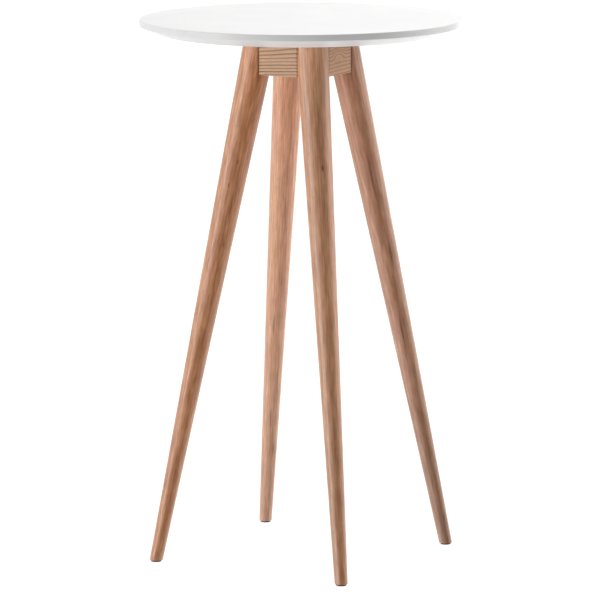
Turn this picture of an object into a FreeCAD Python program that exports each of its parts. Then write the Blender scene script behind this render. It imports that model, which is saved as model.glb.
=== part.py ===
# Round bar table: a white lacquered top on a square ash apron with cut corners and four splayed, tapered legs.
# Origin on the floor under the middle of the top, +Z up, apron sides square to X and Y, legs on the diagonals.
import FreeCAD, Part
import math
import os
import sys
import Sketcher

FOLDER = "parts"

# Driving sizes, in millimetres; leg_splay and nut_chamfer_angle are in degrees
SIZES = {
    # table top, turned from one board
    "table_height": 1100,
    "top_diameter": 650,
    "top_thickness": 29,
    "top_band_height": 13,
    "top_bevel_width": 42,
    "top_arris_round": 1.2,
    # apron: four rails that leave the corners of the square open for the legs
    "apron_width": 182,
    "rail_height": 80,
    "rail_thickness": 18,
    "rail_arris_round": 1.2,
    # legs: straight round tapers, halved round the apron's cut corners
    "leg_splay": 11.9,
    "leg_head_inset": 13.5,
    "leg_head_diameter": 66,
    "leg_foot_diameter": 26,
    "leg_trim": 12,
    "leg_foot_chamfer": 0.8,
    # corner blocks, glued inside the apron; each has a nose between the rails' ends, wide enough for the bolts
    "block_depth": 36,
    "block_wing": 36,
    "block_nose_wall": 3.7,
    "block_foot_gap": 6,
    # hanger bolts, one above the other through each block into its leg
    "bolt_diameter": 8,
    "bolt_end_distance": 18,
    "bolt_wood_length": 17,
    "bolt_point_length": 4,
    "bolt_overhang": 4,
    "bolt_end_chamfer": 1,
    "bolt_hole_gap": 0.25,
    "washer_diameter": 24,
    "washer_thickness": 2,
    "washer_bore_gap": 0.2,
    "nut_across_flats": 13,
    "nut_height": 6.5,
    "nut_chamfer_angle": 30,
    "nut_thread_gap": 0.1,
    # pan-head wood screws, all of one gauge
    "screw_diameter": 4,
    "screw_point_length": 4,
    "screw_head_diameter": 8,
    "screw_head_height": 2.8,
    "screw_head_round": 1.4,
    "screw_recess_span": 4.4,
    "screw_recess_slot": 1,
    "screw_recess_depth": 1.5,
    "screw_pilot_gap": 0.1,
    "drill_extra": 1,
    # screws from the corner blocks into the rails
    "block_screw_length": 28,
    "block_screw_setback": 28,
    "block_screw_seat": 14,
    "block_screw_bore_diameter": 9.5,
    # steel angle brackets between the rails and the top, two holes in line along each flange
    "bracket_width": 16,
    "bracket_flange": 40,
    "bracket_thickness": 2,
    "bracket_bend_round": 1.5,
    "bracket_corner_round": 4,
    "bracket_hole_reach": 14,
    "bracket_hole_pitch": 18,
    "bracket_hole_gap": 0.3,
    "rail_screw_length": 15,
    "top_screw_length": 18,
    # nail-on glides under the feet
    "glide_diameter": 21,
    "glide_height": 3,
    "glide_chamfer": 0.6,
    "nail_diameter": 2.2,
    "nail_length": 16,
    "nail_point_length": 2.5,
    "nail_head_diameter": 6,
    "nail_head_height": 0.8,
    "nail_head_recess": 0.7,
    "nail_gap": 0.1,
    # how far a cut runs past the face that it leaves
    "cut_overrun": 5,
}

# Lengths that follow from the driving sizes, as expressions
UNDERSIDE = "(sizes.table_height - sizes.top_thickness)"
TOP_RADIUS = "(sizes.top_diameter / 2)"
RAIL_OUTER = "(sizes.apron_width / 2)"
RAIL_INNER = "(sizes.apron_width / 2 - sizes.rail_thickness)"
BOLT_RADIUS = "(sizes.bolt_diameter / 2)"
BOLT_HOLE_RADIUS = "(sizes.bolt_diameter / 2 + sizes.bolt_hole_gap)"
BLOCK_NOSE = "(" + BOLT_HOLE_RADIUS + " + sizes.block_nose_wall)"
CORNER_REACH = "(" + RAIL_INNER + " * sqrt(2) - " + BLOCK_NOSE + ")"
CORNER_SUM = "(" + CORNER_REACH + " * sqrt(2))"
RAIL_OUTER_END = "(" + CORNER_SUM + " - " + RAIL_OUTER + ")"
RAIL_INNER_END = "(" + CORNER_SUM + " - " + RAIL_INNER + ")"
LEG_HEAD_OFFSET = "(" + CORNER_REACH + " - sizes.leg_head_inset)"
LEG_LENGTH = "(" + UNDERSIDE + " / cos(sizes.leg_splay))"
FOOT_OFFSET = "(" + LEG_HEAD_OFFSET + " + (" + UNDERSIDE + " - sizes.glide_height) * tan(sizes.leg_splay))"
SAW_WIDTH = "(2 * sizes.leg_head_diameter)"
SAW_DEPTH = "(2 * sizes.leg_trim + sizes.leg_head_diameter)"
BLOCK_BACK = "(" + CORNER_REACH + " - sizes.block_depth)"
BLOCK_HEIGHT = "(sizes.rail_height - sizes.block_foot_gap)"
BOLT_DROP = "(sizes.bolt_end_distance)"
BOLT_PITCH = "(" + BLOCK_HEIGHT + " - 2 * sizes.bolt_end_distance)"
PILOT_RADIUS = "(sizes.screw_diameter / 2 + sizes.screw_pilot_gap)"
BLOCK_SCREW_DROP = "(" + BLOCK_HEIGHT + " / 2)"
BLOCK_SCREW_SIDE = "(" + RAIL_INNER_END + " - sizes.block_screw_setback)"
BRACKET_HOLE_REACHES = (
    "(sizes.bracket_hole_reach)",
    "(sizes.bracket_hole_reach + sizes.bracket_hole_pitch)",
)
NAIL_SEAT = "(sizes.nail_head_recess + sizes.nail_head_height)"
NAIL_REACH = "(" + NAIL_SEAT + " + sizes.nail_length - sizes.glide_height)"

# How far each side and corner is turned about the table's axis
SIDES = {"right": 0, "back": 90, "left": 180, "front": 270}
CORNERS = {"back_right": 45, "back_left": 135, "front_left": 225, "front_right": 315}

HEXAGON_SIDES = 6
SAME_PLACE = 1e-6

# Numbers by which a sketch knows its axes (the first starts at the origin) and the points of an edge
X_AXIS_INDEX = -1
Y_AXIS_INDEX = -2
START_INDEX = 1
END_INDEX = 2
CENTRE_INDEX = 3

doc = FreeCAD.newDocument("bar_table")
pieces = []


# Helpers for sketches and features


def write_sizes():
    sheet = doc.addObject("Spreadsheet::Sheet", "sizes")
    for row, (alias, value) in enumerate(SIZES.items(), start=1):
        sheet.set("A%d" % row, alias)
        sheet.set("B%d" % row, str(value))
        sheet.setAlias("B%d" % row, alias)
    doc.recompute()


def new_piece(name, turn, lift=None):
    """Start one piece: it is drawn round the table's axis, then turned about it and lifted."""
    body = doc.addObject("PartDesign::Body", name)
    body.Label = name
    body.Placement = FreeCAD.Placement(FreeCAD.Vector(), FreeCAD.Rotation(FreeCAD.Vector(0, 0, 1), turn))
    if lift:
        body.setExpression("Placement.Base.z", lift)
    pieces.append(body)
    return body


def origin_part(body, role):
    return [item for item in body.Origin.OriginFeatures if item.Role == role][0]


def new_sketch(body, role, shift_x=None, shift_y=None, lift=None):
    """Sketch on one of the body's own planes, its origin moved in the plane and off it."""
    sketch = body.newObject("Sketcher::SketchObject", body.Label + "_sketch")
    sketch.AttachmentSupport = [(origin_part(body, role), "")]
    sketch.MapMode = "FlatFace"
    for axis, distance in (("x", shift_x), ("y", shift_y), ("z", lift)):
        if distance:
            sketch.setExpression("AttachmentOffset.Base." + axis, distance)
    return sketch


def place_point(sketch, edge, end, start, x, y):
    """Tie one point of an edge to its two distances from the sketch's origin."""
    ways = (("DistanceX", x, start.x, Y_AXIS_INDEX), ("DistanceY", y, start.y, X_AXIS_INDEX))
    for kind, distance, value, zero_axis in ways:
        if distance == "0":
            sketch.addConstraint(Sketcher.Constraint("PointOnObject", edge, end, zero_axis))
        else:
            tie = Sketcher.Constraint(kind, X_AXIS_INDEX, START_INDEX, edge, end, value)
            sketch.setExpression("Constraints[%d]" % sketch.addConstraint(tie), distance)


def draw_outline(sketch, corners):
    """Close a polygon through corners, each an (x, y) pair of expressions; gives back its last edge."""
    count = len(corners)
    turns = [2 * math.pi * (index + 1 / 4) / count for index in range(count)]
    starts = [FreeCAD.Vector(math.cos(turn), math.sin(turn)) for turn in turns]
    first = sketch.GeometryCount
    for index in range(count):
        sketch.addGeometry(Part.LineSegment(starts[index], starts[(index + 1) % count]))
    for index, (x, y) in enumerate(corners):
        before = first + (index - 1) % count
        meeting = Sketcher.Constraint("Coincident", before, END_INDEX, first + index, START_INDEX)
        sketch.addConstraint(meeting)
        place_point(sketch, first + index, START_INDEX, starts[index], x, y)
    return first + count - 1


def draw_circle(sketch, x, y, radius):
    centre = FreeCAD.Vector(1, 1)
    edge = sketch.addGeometry(Part.Circle(centre, FreeCAD.Vector(0, 0, 1), 1))
    size = sketch.addConstraint(Sketcher.Constraint("Radius", edge, 1))
    sketch.setExpression("Constraints[%d]" % size, radius)
    place_point(sketch, edge, CENTRE_INDEX, centre, x, y)


def draw_axis_over(sketch, edge):
    """Lay a construction line over an edge, for a profile to be turned about."""
    line = sketch.addGeometry(Part.LineSegment(FreeCAD.Vector(), FreeCAD.Vector(1, 1)), True)
    for end in (START_INDEX, END_INDEX):
        sketch.addConstraint(Sketcher.Constraint("Coincident", line, end, edge, end))


def add_feature(body, kind, name):
    feature = body.newObject("PartDesign::" + kind, body.Label + "_" + name)
    body.Tip = feature
    return feature


def pad(body, sketch, length, both_ways=False, backwards=False):
    feature = add_feature(body, "Pad", "pad")
    feature.Profile = sketch
    feature.SideType = "Symmetric" if both_ways else "One side"
    feature.Reversed = backwards
    feature.setExpression("Length", length)
    return feature


def pocket(body, sketch, length, both_ways=False, backwards=False):
    feature = add_feature(body, "Pocket", "pocket")
    feature.Profile = sketch
    feature.SideType = "Symmetric" if both_ways else "One side"
    feature.Reversed = backwards
    feature.setExpression("Length", length)
    return feature


def turn_profile(body, kind, sketch, axis):
    """Turn a sketch fully round one of its axes, to add (Revolution) or to cut (Groove)."""
    feature = add_feature(body, kind, kind.lower())
    feature.Profile = sketch
    feature.ReferenceAxis = (sketch, [axis])
    feature.Angle = 360
    return feature


def repeat_whole(body, axis, pitch, backwards=False):
    """A second copy of the whole piece, one pitch along an axis of the body."""
    doc.recompute()
    pattern = add_feature(body, "LinearPattern", "pair")
    pattern.TransformMode = "Whole shape"
    pattern.Direction = (origin_part(body, axis), [""])
    pattern.Reversed = backwards
    pattern.setExpression("Length", pitch)
    pattern.Occurrences = 2


def repeat_round(body, feature, count):
    pattern = add_feature(body, "PolarPattern", "ring")
    pattern.Originals = [feature]
    pattern.Axis = (origin_part(body, "Z_Axis"), [""])
    pattern.Angle = 360
    pattern.Occurrences = count


def mirror_over(body, feature, role):
    mirrored = add_feature(body, "Mirrored", "mirrored")
    mirrored.Originals = [feature]
    mirrored.MirrorPlane = (origin_part(body, role), [""])


def same(first, second):
    return abs(first - second) < SAME_PLACE


def ease_edges(body, kind, size_name, size, chosen):
    """Round (Fillet) or chamfer the edges that chosen(the edge's box, the box of all edges) picks."""
    doc.recompute()
    base = body.Tip
    whole = FreeCAD.BoundBox()
    for edge in base.Shape.Edges:
        whole.add(edge.BoundBox)
    numbered = enumerate(base.Shape.Edges, start=1)
    edges = ["Edge%d" % number for number, edge in numbered if chosen(edge.BoundBox, whole)]
    if not edges:
        sys.exit(body.Label + " has no edge to ease")
    feature = add_feature(body, kind, kind.lower())
    feature.Base = (base, edges)
    feature.setExpression(size_name, size)


# The top


def make_tabletop():
    """Disc with an upright band, a wide under-bevel, and pilot holes for the bracket screws."""
    body = new_piece("tabletop", 0, UNDERSIDE)
    section = new_sketch(body, "XZ_Plane")
    draw_outline(
        section,
        [
            ("0", "0"),
            (TOP_RADIUS + " - sizes.top_bevel_width", "0"),
            (TOP_RADIUS, "sizes.top_thickness - sizes.top_band_height"),
            (TOP_RADIUS, "sizes.top_thickness"),
            ("0", "sizes.top_thickness"),
        ],
    )
    turn_profile(body, "Revolution", section, "V_Axis")

    def on_rim(edge, whole):
        return same(edge.XMax, whole.XMax) and same(edge.ZMax, edge.ZMin)

    ease_edges(body, "Fillet", "Radius", "sizes.top_arris_round", on_rim)

    holes = new_sketch(body, "XY_Plane")
    for reach in BRACKET_HOLE_REACHES:
        draw_circle(holes, RAIL_INNER + " - " + reach, "0", PILOT_RADIUS)
    depth = "sizes.top_screw_length - sizes.bracket_thickness + sizes.drill_extra"
    drilled = pocket(body, holes, depth, backwards=True)
    repeat_round(body, drilled, len(SIDES))


# The apron


def make_rail(side, turn):
    """One side of the apron, its ends cut where the leg's flat crosses the corner."""
    body = new_piece("rail_" + side, turn, UNDERSIDE)
    plan = new_sketch(body, "XY_Plane")
    draw_outline(
        plan,
        [
            (RAIL_INNER, "-" + RAIL_INNER_END),
            (RAIL_OUTER, "-" + RAIL_OUTER_END),
            (RAIL_OUTER, RAIL_OUTER_END),
            (RAIL_INNER, RAIL_INNER_END),
        ],
    )
    pad(body, plan, "sizes.rail_height", backwards=True)

    def lower_outer(edge, whole):
        return same(edge.ZMax, whole.ZMin) and same(edge.XMin, whole.XMax)

    ease_edges(body, "Fillet", "Radius", "sizes.rail_arris_round", lower_outer)

    bracket_holes = new_sketch(body, "YZ_Plane", lift=RAIL_INNER)
    for reach in BRACKET_HOLE_REACHES:
        draw_circle(bracket_holes, "0", "-" + reach, PILOT_RADIUS)
    bracket_depth = "sizes.rail_screw_length - sizes.bracket_thickness + sizes.drill_extra"
    pocket(body, bracket_holes, bracket_depth, backwards=True)
    block_holes = new_sketch(body, "YZ_Plane", lift=RAIL_INNER)
    for hand in ("-", ""):
        draw_circle(block_holes, hand + BLOCK_SCREW_SIDE, "-" + BLOCK_SCREW_DROP, PILOT_RADIUS)
    block_depth = "sizes.block_screw_length - sizes.block_screw_seat + sizes.drill_extra"
    pocket(body, block_holes, block_depth, backwards=True)


def draw_bolt_circles(sketch):
    """The two holes for the hanger bolts, on a plane that looks along the leg's diagonal."""
    draw_circle(sketch, "0", "-" + BOLT_DROP, BOLT_HOLE_RADIUS)
    draw_circle(sketch, "0", "-(" + BOLT_DROP + " + " + BOLT_PITCH + ")", BOLT_HOLE_RADIUS)


def from_flank(depth, radius):
    """A point of a block screw's bore, by its depth in from the block's flank and its radius."""
    x = CORNER_REACH + " - (sizes.block_screw_setback + (%s) + (%s)) / sqrt(2)" % (depth, radius)
    y = BLOCK_NOSE + " + (sizes.block_screw_setback - (%s) + (%s)) / sqrt(2)" % (depth, radius)
    return x, y


def make_corner_block(corner, turn):
    """Wedge behind a cut corner: its nose meets the leg, its two flanks the rails."""
    body = new_piece("corner_block_" + corner, turn, UNDERSIDE)
    wing_x = "(" + CORNER_REACH + " - sizes.block_wing / sqrt(2))"
    wing_y = "(" + BLOCK_NOSE + " + sizes.block_wing / sqrt(2))"
    back_y = "(" + wing_y + " - " + wing_x + " + " + BLOCK_BACK + ")"
    plan = new_sketch(body, "XY_Plane")
    draw_outline(
        plan,
        [
            (CORNER_REACH, "-" + BLOCK_NOSE),
            (CORNER_REACH, BLOCK_NOSE),
            (wing_x, wing_y),
            (BLOCK_BACK, back_y),
            (BLOCK_BACK, "-" + back_y),
            (wing_x, "-" + wing_y),
        ],
    )
    pad(body, plan, BLOCK_HEIGHT, backwards=True)

    bolt_holes = new_sketch(body, "YZ_Plane", lift=BLOCK_BACK)
    draw_bolt_circles(bolt_holes)
    pocket(body, bolt_holes, "sizes.block_depth", backwards=True)

    bore = "sizes.block_screw_bore_diameter / 2"
    mouth = "sizes.block_depth * sqrt(2)"
    stepped = new_sketch(body, "XY_Plane", lift="-" + BLOCK_SCREW_DROP)
    axis_edge = draw_outline(
        stepped,
        [
            from_flank("-sizes.cut_overrun", "0"),
            from_flank("-sizes.cut_overrun", PILOT_RADIUS),
            from_flank("sizes.block_screw_seat", PILOT_RADIUS),
            from_flank("sizes.block_screw_seat", bore),
            from_flank(mouth, bore),
            from_flank(mouth, "0"),
        ],
    )
    draw_axis_over(stepped, axis_edge)
    bored = turn_profile(body, "Groove", stepped, "Axis0")
    mirror_over(body, bored, "XZ_Plane")


# The legs


def make_leg(corner, turn):
    """Tapered round leg, sawn level at both ends and halved to a flat and a shoulder for the apron."""
    body = new_piece("leg_" + corner, turn, UNDERSIDE)
    taper = "((sizes.leg_head_diameter - sizes.leg_foot_diameter) / 2 / " + LEG_LENGTH + ")"
    below_foot = "(-" + LEG_LENGTH + " - sizes.leg_trim)"
    above_head = "(sizes.leg_trim)"
    blank = new_sketch(body, "XZ_Plane")
    corners = []
    for along, outwards in ((below_foot, 0), (below_foot, 1), (above_head, 1), (above_head, 0)):
        radius = "%d * (sizes.leg_head_diameter / 2 + %s * %s)" % (outwards, along, taper)
        x = LEG_HEAD_OFFSET + " - %s * sin(sizes.leg_splay) + %s * cos(sizes.leg_splay)"
        z = "%s * cos(sizes.leg_splay) + %s * sin(sizes.leg_splay)"
        corners.append((x % (along, radius), z % (along, radius)))
    axis_edge = draw_outline(blank, corners)
    draw_axis_over(blank, axis_edge)
    turn_profile(body, "Revolution", blank, "Axis0")

    far = "(" + LEG_HEAD_OFFSET + " + " + SAW_WIDTH + ")"
    head = new_sketch(body, "XZ_Plane")
    draw_outline(
        head,
        [
            ("0", "-sizes.rail_height"),
            (CORNER_REACH, "-sizes.rail_height"),
            (CORNER_REACH, "0"),
            (far, "0"),
            (far, SAW_DEPTH),
            ("0", SAW_DEPTH),
        ],
    )
    pocket(body, head, SAW_WIDTH, both_ways=True)
    sole = "-(" + UNDERSIDE + " - sizes.glide_height)"
    foot = new_sketch(body, "XY_Plane", shift_x=FOOT_OFFSET, lift=sole)
    draw_circle(foot, "0", "0", SAW_WIDTH)
    pocket(body, foot, SAW_DEPTH)

    def round_sole(edge, whole):
        return same(edge.ZMax, whole.ZMin)

    ease_edges(body, "Chamfer", "Size", "sizes.leg_foot_chamfer", round_sole)

    bolt_holes = new_sketch(body, "YZ_Plane", lift=CORNER_REACH)
    draw_bolt_circles(bolt_holes)
    pocket(body, bolt_holes, "sizes.bolt_wood_length + sizes.drill_extra", backwards=True)
    nail_hole = new_sketch(body, "XY_Plane", shift_x=FOOT_OFFSET, lift=sole)
    draw_circle(nail_hole, "0", "0", "sizes.nail_diameter / 2 + sizes.nail_gap")
    pocket(body, nail_hole, NAIL_REACH + " + sizes.drill_extra", backwards=True)


def make_glide(corner, turn):
    """Round plastic foot with a countersink for its nail's head."""
    body = new_piece("glide_" + corner, turn)
    section = new_sketch(body, "XZ_Plane", shift_x=FOOT_OFFSET)
    outer = "sizes.glide_diameter / 2"
    head_bore = "sizes.nail_head_diameter / 2 + sizes.nail_gap"
    shank_bore = "sizes.nail_diameter / 2 + sizes.nail_gap"
    draw_outline(
        section,
        [
            (head_bore, "0"),
            (outer + " - sizes.glide_chamfer", "0"),
            (outer, "sizes.glide_chamfer"),
            (outer, "sizes.glide_height"),
            (shank_bore, "sizes.glide_height"),
            (shank_bore, NAIL_SEAT),
            (head_bore, NAIL_SEAT),
        ],
    )
    turn_profile(body, "Revolution", section, "V_Axis")


def make_glide_nail(corner, turn):
    """Flat-headed nail, driven up through the glide into the foot."""
    body = new_piece("glide_nail_" + corner, turn)
    section = new_sketch(body, "XZ_Plane", shift_x=FOOT_OFFSET, shift_y=NAIL_SEAT)
    head = "sizes.nail_head_diameter / 2"
    shank = "sizes.nail_diameter / 2"
    draw_outline(
        section,
        [
            ("0", "-sizes.nail_head_height"),
            (head, "-sizes.nail_head_height"),
            (head, "0"),
            (shank, "0"),
            (shank, "sizes.nail_length - sizes.nail_point_length"),
            ("0", "sizes.nail_length"),
        ],
    )
    turn_profile(body, "Revolution", section, "V_Axis")


# Hanger bolts, washers and nuts


def make_hanger_bolts(corner, turn):
    """Two headless bolts: a pointed wood thread in the leg, a machine thread through the block."""
    body = new_piece("hanger_bolts_" + corner, turn, UNDERSIDE)
    tip = "(" + CORNER_REACH + " + sizes.bolt_wood_length)"
    end = "(" + BLOCK_BACK + " - sizes.washer_thickness - sizes.nut_height - sizes.bolt_overhang)"
    section = new_sketch(body, "XZ_Plane", shift_y="-" + BOLT_DROP)
    draw_outline(
        section,
        [
            (end, "0"),
            (tip, "0"),
            (tip + " - sizes.bolt_point_length", BOLT_RADIUS),
            (end + " + sizes.bolt_end_chamfer", BOLT_RADIUS),
            (end, BOLT_RADIUS + " - sizes.bolt_end_chamfer"),
        ],
    )
    turn_profile(body, "Revolution", section, "H_Axis")
    repeat_whole(body, "Z_Axis", BOLT_PITCH, backwards=True)


def make_washers(corner, turn):
    body = new_piece("washers_" + corner, turn, UNDERSIDE)
    rings = new_sketch(body, "YZ_Plane", shift_y="-" + BOLT_DROP, lift=BLOCK_BACK)
    draw_circle(rings, "0", "0", "sizes.washer_diameter / 2")
    draw_circle(rings, "0", "0", BOLT_RADIUS + " + sizes.washer_bore_gap")
    pad(body, rings, "sizes.washer_thickness", backwards=True)
    repeat_whole(body, "Z_Axis", BOLT_PITCH, backwards=True)


def make_nuts(corner, turn):
    """Hexagon nuts, chamfered on the outer face."""
    body = new_piece("nuts_" + corner, turn, UNDERSIDE)
    seat = "(" + BLOCK_BACK + " - sizes.washer_thickness)"
    across = "(sizes.nut_across_flats / 2)"
    corner_radius = "(" + across + " / cos(180 / %d))" % HEXAGON_SIDES
    turns = ["(360 / %d * %d)" % (HEXAGON_SIDES, index + 1) for index in range(HEXAGON_SIDES)]
    plan = new_sketch(body, "YZ_Plane", shift_y="-" + BOLT_DROP, lift=seat)
    draw_outline(
        plan,
        [(corner_radius + " * cos" + turn, corner_radius + " * sin" + turn) for turn in turns],
    )
    draw_circle(plan, "0", "0", BOLT_RADIUS + " + sizes.nut_thread_gap")
    pad(body, plan, "sizes.nut_height", backwards=True)

    beyond = "(" + corner_radius + " + sizes.cut_overrun)"
    chamfer = new_sketch(
        body,
        "XZ_Plane",
        shift_x=seat + " - sizes.nut_height",
        shift_y="-" + BOLT_DROP,
    )
    draw_outline(
        chamfer,
        [
            ("-sizes.cut_overrun", across),
            ("0", across),
            ("(" + beyond + " - " + across + ") * tan(sizes.nut_chamfer_angle)", beyond),
            ("-sizes.cut_overrun", beyond),
        ],
    )
    turn_profile(body, "Groove", chamfer, "H_Axis")
    repeat_whole(body, "Z_Axis", BOLT_PITCH, backwards=True)


# Brackets and screws


def make_bracket(side, turn):
    """Bent steel angle: one flange on the rail, one under the top, two screw holes in each."""
    body = new_piece("bracket_" + side, turn, UNDERSIDE)
    inner_face = RAIL_INNER + " - sizes.bracket_thickness"
    tip_x = RAIL_INNER + " - sizes.bracket_flange"
    section = new_sketch(body, "XZ_Plane")
    draw_outline(
        section,
        [
            (RAIL_INNER, "0"),
            (RAIL_INNER, "-sizes.bracket_flange"),
            (inner_face, "-sizes.bracket_flange"),
            (inner_face, "-sizes.bracket_thickness"),
            (tip_x, "-sizes.bracket_thickness"),
            (tip_x, "0"),
        ],
    )
    pad(body, section, "sizes.bracket_width", both_ways=True)

    def outer_bend(edge, whole):
        return same(edge.XMin, whole.XMax) and same(edge.ZMin, whole.ZMax)

    def flange_corner(edge, whole):
        across = same(edge.YMin, edge.YMax)
        lower = same(edge.ZMax, whole.ZMin)
        inner = same(edge.XMax, whole.XMin)
        return across and (lower or inner)

    bend = "sizes.bracket_bend_round + sizes.bracket_thickness"
    ease_edges(body, "Fillet", "Radius", bend, outer_bend)
    ease_edges(body, "Fillet", "Radius", "sizes.bracket_corner_round", flange_corner)

    wall_holes = new_sketch(body, "YZ_Plane", lift=RAIL_INNER)
    top_holes = new_sketch(body, "XY_Plane", shift_x=RAIL_INNER)
    radius = "sizes.screw_diameter / 2 + sizes.bracket_hole_gap"
    for reach in BRACKET_HOLE_REACHES:
        draw_circle(wall_holes, "0", "-" + reach, radius)
        draw_circle(top_holes, "-" + reach, "0", radius)
    pocket(body, wall_holes, "sizes.bracket_thickness")
    pocket(body, top_holes, "sizes.bracket_thickness")


def make_screws(name, turn, seat_x, seat_z, length, side=None, pitch=None, upwards=False):
    """A pair of cross-recessed pan-head screws that point outwards into a rail, or up into the top.

    The first one's head sits at (seat_x, seat_z), on the middle of the side or to one side of it. The second
    stands one pitch away: below it, nearer the table's axis when upwards, or across the middle when to one side.
    """
    body = new_piece(name, turn, UNDERSIDE)
    head_top = "-sizes.screw_head_height"
    head_radius = "sizes.screw_head_diameter / 2"
    shank = "sizes.screw_diameter / 2"
    section = new_sketch(body, "XZ_Plane", shift_x=seat_x, shift_y=seat_z, lift=side)
    steps = [
        (head_top, "0"),
        (head_top, head_radius),
        ("0", head_radius),
        ("0", shank),
        (length + " - sizes.screw_point_length", shank),
        (length, "0"),
    ]
    draw_outline(section, [(radius, along) if upwards else (along, radius) for along, radius in steps])
    turn_profile(body, "Revolution", section, "V_Axis" if upwards else "H_Axis")

    def head_rim(edge, whole):
        if upwards:
            return same(edge.ZMax, whole.ZMin)
        return same(edge.XMax, whole.XMin)

    ease_edges(body, "Fillet", "Radius", "sizes.screw_head_round", head_rim)

    if upwards:
        recess = new_sketch(body, "XY_Plane", shift_x=seat_x, lift=seat_z + " + " + head_top)
    else:
        aside = "-" + side if side else None
        recess = new_sketch(body, "YZ_Plane", shift_x=aside, shift_y=seat_z, lift=seat_x + " + " + head_top)
    draw_cross(recess)
    pocket(body, recess, "sizes.screw_recess_depth", backwards=True)
    if side:
        repeat_whole(body, "Y_Axis", pitch)
    else:
        repeat_whole(body, "X_Axis" if upwards else "Z_Axis", pitch, backwards=True)


def draw_cross(sketch):
    """Outline of a cross recess, arm by arm."""
    arm = "sizes.screw_recess_span / 2"
    slot = "sizes.screw_recess_slot / 2"
    draw_outline(
        sketch,
        [
            (arm, "-" + slot),
            (arm, slot),
            (slot, slot),
            (slot, arm),
            ("-" + slot, arm),
            ("-" + slot, slot),
            ("-" + arm, slot),
            ("-" + arm, "-" + slot),
            ("-" + slot, "-" + slot),
            ("-" + slot, "-" + arm),
            (slot, "-" + arm),
            (slot, "-" + slot),
        ],
    )


def make_side_fittings(side, turn):
    """The bracket of one side with its screws, and the screws that reach that side's rail from two blocks."""
    make_bracket(side, turn)
    first_hole = BRACKET_HOLE_REACHES[0]
    make_screws(
        "rail_screws_" + side,
        turn,
        seat_x=RAIL_INNER + " - sizes.bracket_thickness",
        seat_z="-" + first_hole,
        length="sizes.rail_screw_length",
        pitch="sizes.bracket_hole_pitch",
    )
    make_screws(
        "top_screws_" + side,
        turn,
        seat_x=RAIL_INNER + " - " + first_hole,
        seat_z="-sizes.bracket_thickness",
        length="sizes.top_screw_length",
        pitch="sizes.bracket_hole_pitch",
        upwards=True,
    )
    make_screws(
        "block_screws_" + side,
        turn,
        seat_x=RAIL_INNER + " - sizes.block_screw_seat",
        seat_z="-" + BLOCK_SCREW_DROP,
        length="sizes.block_screw_length",
        side=BLOCK_SCREW_SIDE,
        pitch="2 * " + BLOCK_SCREW_SIDE,
    )


# The whole table


def check_document():
    """Stop unless every feature holds, every cut takes something off and every piece is sound."""
    doc.recompute()
    for item in doc.Objects:
        if "Invalid" in item.State or "Error" in item.State:
            sys.exit(item.Label + " failed")
        cuts = item.TypeId in ("PartDesign::Pocket", "PartDesign::Groove")
        if cuts and not item.Shape.Volume < item.BaseFeature.Shape.Volume:
            sys.exit(item.Label + " cuts nothing")
    for body in pieces:
        if body.Shape.isNull() or not body.Shape.isValid():
            sys.exit(body.Label + " has no sound shape")


def write_pieces():
    os.makedirs(FOLDER, exist_ok=True)
    for body in pieces:
        body.Shape.exportStep(os.path.join(FOLDER, body.Label + ".step"))
        print(body.Label, len(body.Shape.Solids), "solids", round(body.Shape.Volume), "cubic mm")


write_sizes()
make_tabletop()
for side_name, side_turn in SIDES.items():
    make_rail(side_name, side_turn)
    make_side_fittings(side_name, side_turn)
for corner_name, corner_turn in CORNERS.items():
    make_corner_block(corner_name, corner_turn)
    make_leg(corner_name, corner_turn)
    make_glide(corner_name, corner_turn)
    make_glide_nail(corner_name, corner_turn)
    make_hanger_bolts(corner_name, corner_turn)
    make_washers(corner_name, corner_turn)
    make_nuts(corner_name, corner_turn)
check_document()
write_pieces()
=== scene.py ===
# Round bar table: white lacquered top, ash apron and four splayed ash legs, in a white photo studio.
# Metres, in the frame's own axes: +Z up from the floor, the legs on the diagonals.
import math
import bmesh
import bpy
from mathutils import Euler, Matrix, Vector


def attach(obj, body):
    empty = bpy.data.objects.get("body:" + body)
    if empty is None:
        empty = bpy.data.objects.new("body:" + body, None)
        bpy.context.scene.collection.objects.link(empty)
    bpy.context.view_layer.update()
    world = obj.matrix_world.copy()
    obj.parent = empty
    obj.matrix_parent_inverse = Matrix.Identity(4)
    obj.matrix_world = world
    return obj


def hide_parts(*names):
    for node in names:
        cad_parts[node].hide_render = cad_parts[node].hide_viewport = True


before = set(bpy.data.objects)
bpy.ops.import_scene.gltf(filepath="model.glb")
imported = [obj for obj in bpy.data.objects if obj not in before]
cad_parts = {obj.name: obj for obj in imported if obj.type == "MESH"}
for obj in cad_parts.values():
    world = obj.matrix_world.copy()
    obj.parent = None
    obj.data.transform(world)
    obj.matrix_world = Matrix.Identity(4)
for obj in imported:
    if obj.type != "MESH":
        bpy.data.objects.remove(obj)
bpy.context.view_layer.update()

MM = 0.001
UP = Vector((0, 0, 1))

# How far each side and corner is turned about the table's axis, in degrees
SIDES = {"right": 0, "back": 90, "left": 180, "front": 270}
CORNERS = {"back_right": 45, "back_left": 135, "front_left": 225, "front_right": 315}


def outwards(turn):
    """The level direction that a side or a corner faces."""
    return Vector((math.cos(math.radians(turn)), math.sin(math.radians(turn)), 0))


def reach(node, direction):
    """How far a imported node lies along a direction: its nearest and its farthest point."""
    steps = [vertex.co.dot(direction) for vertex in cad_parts[node].data.vertices]
    return min(steps), max(steps)


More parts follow.
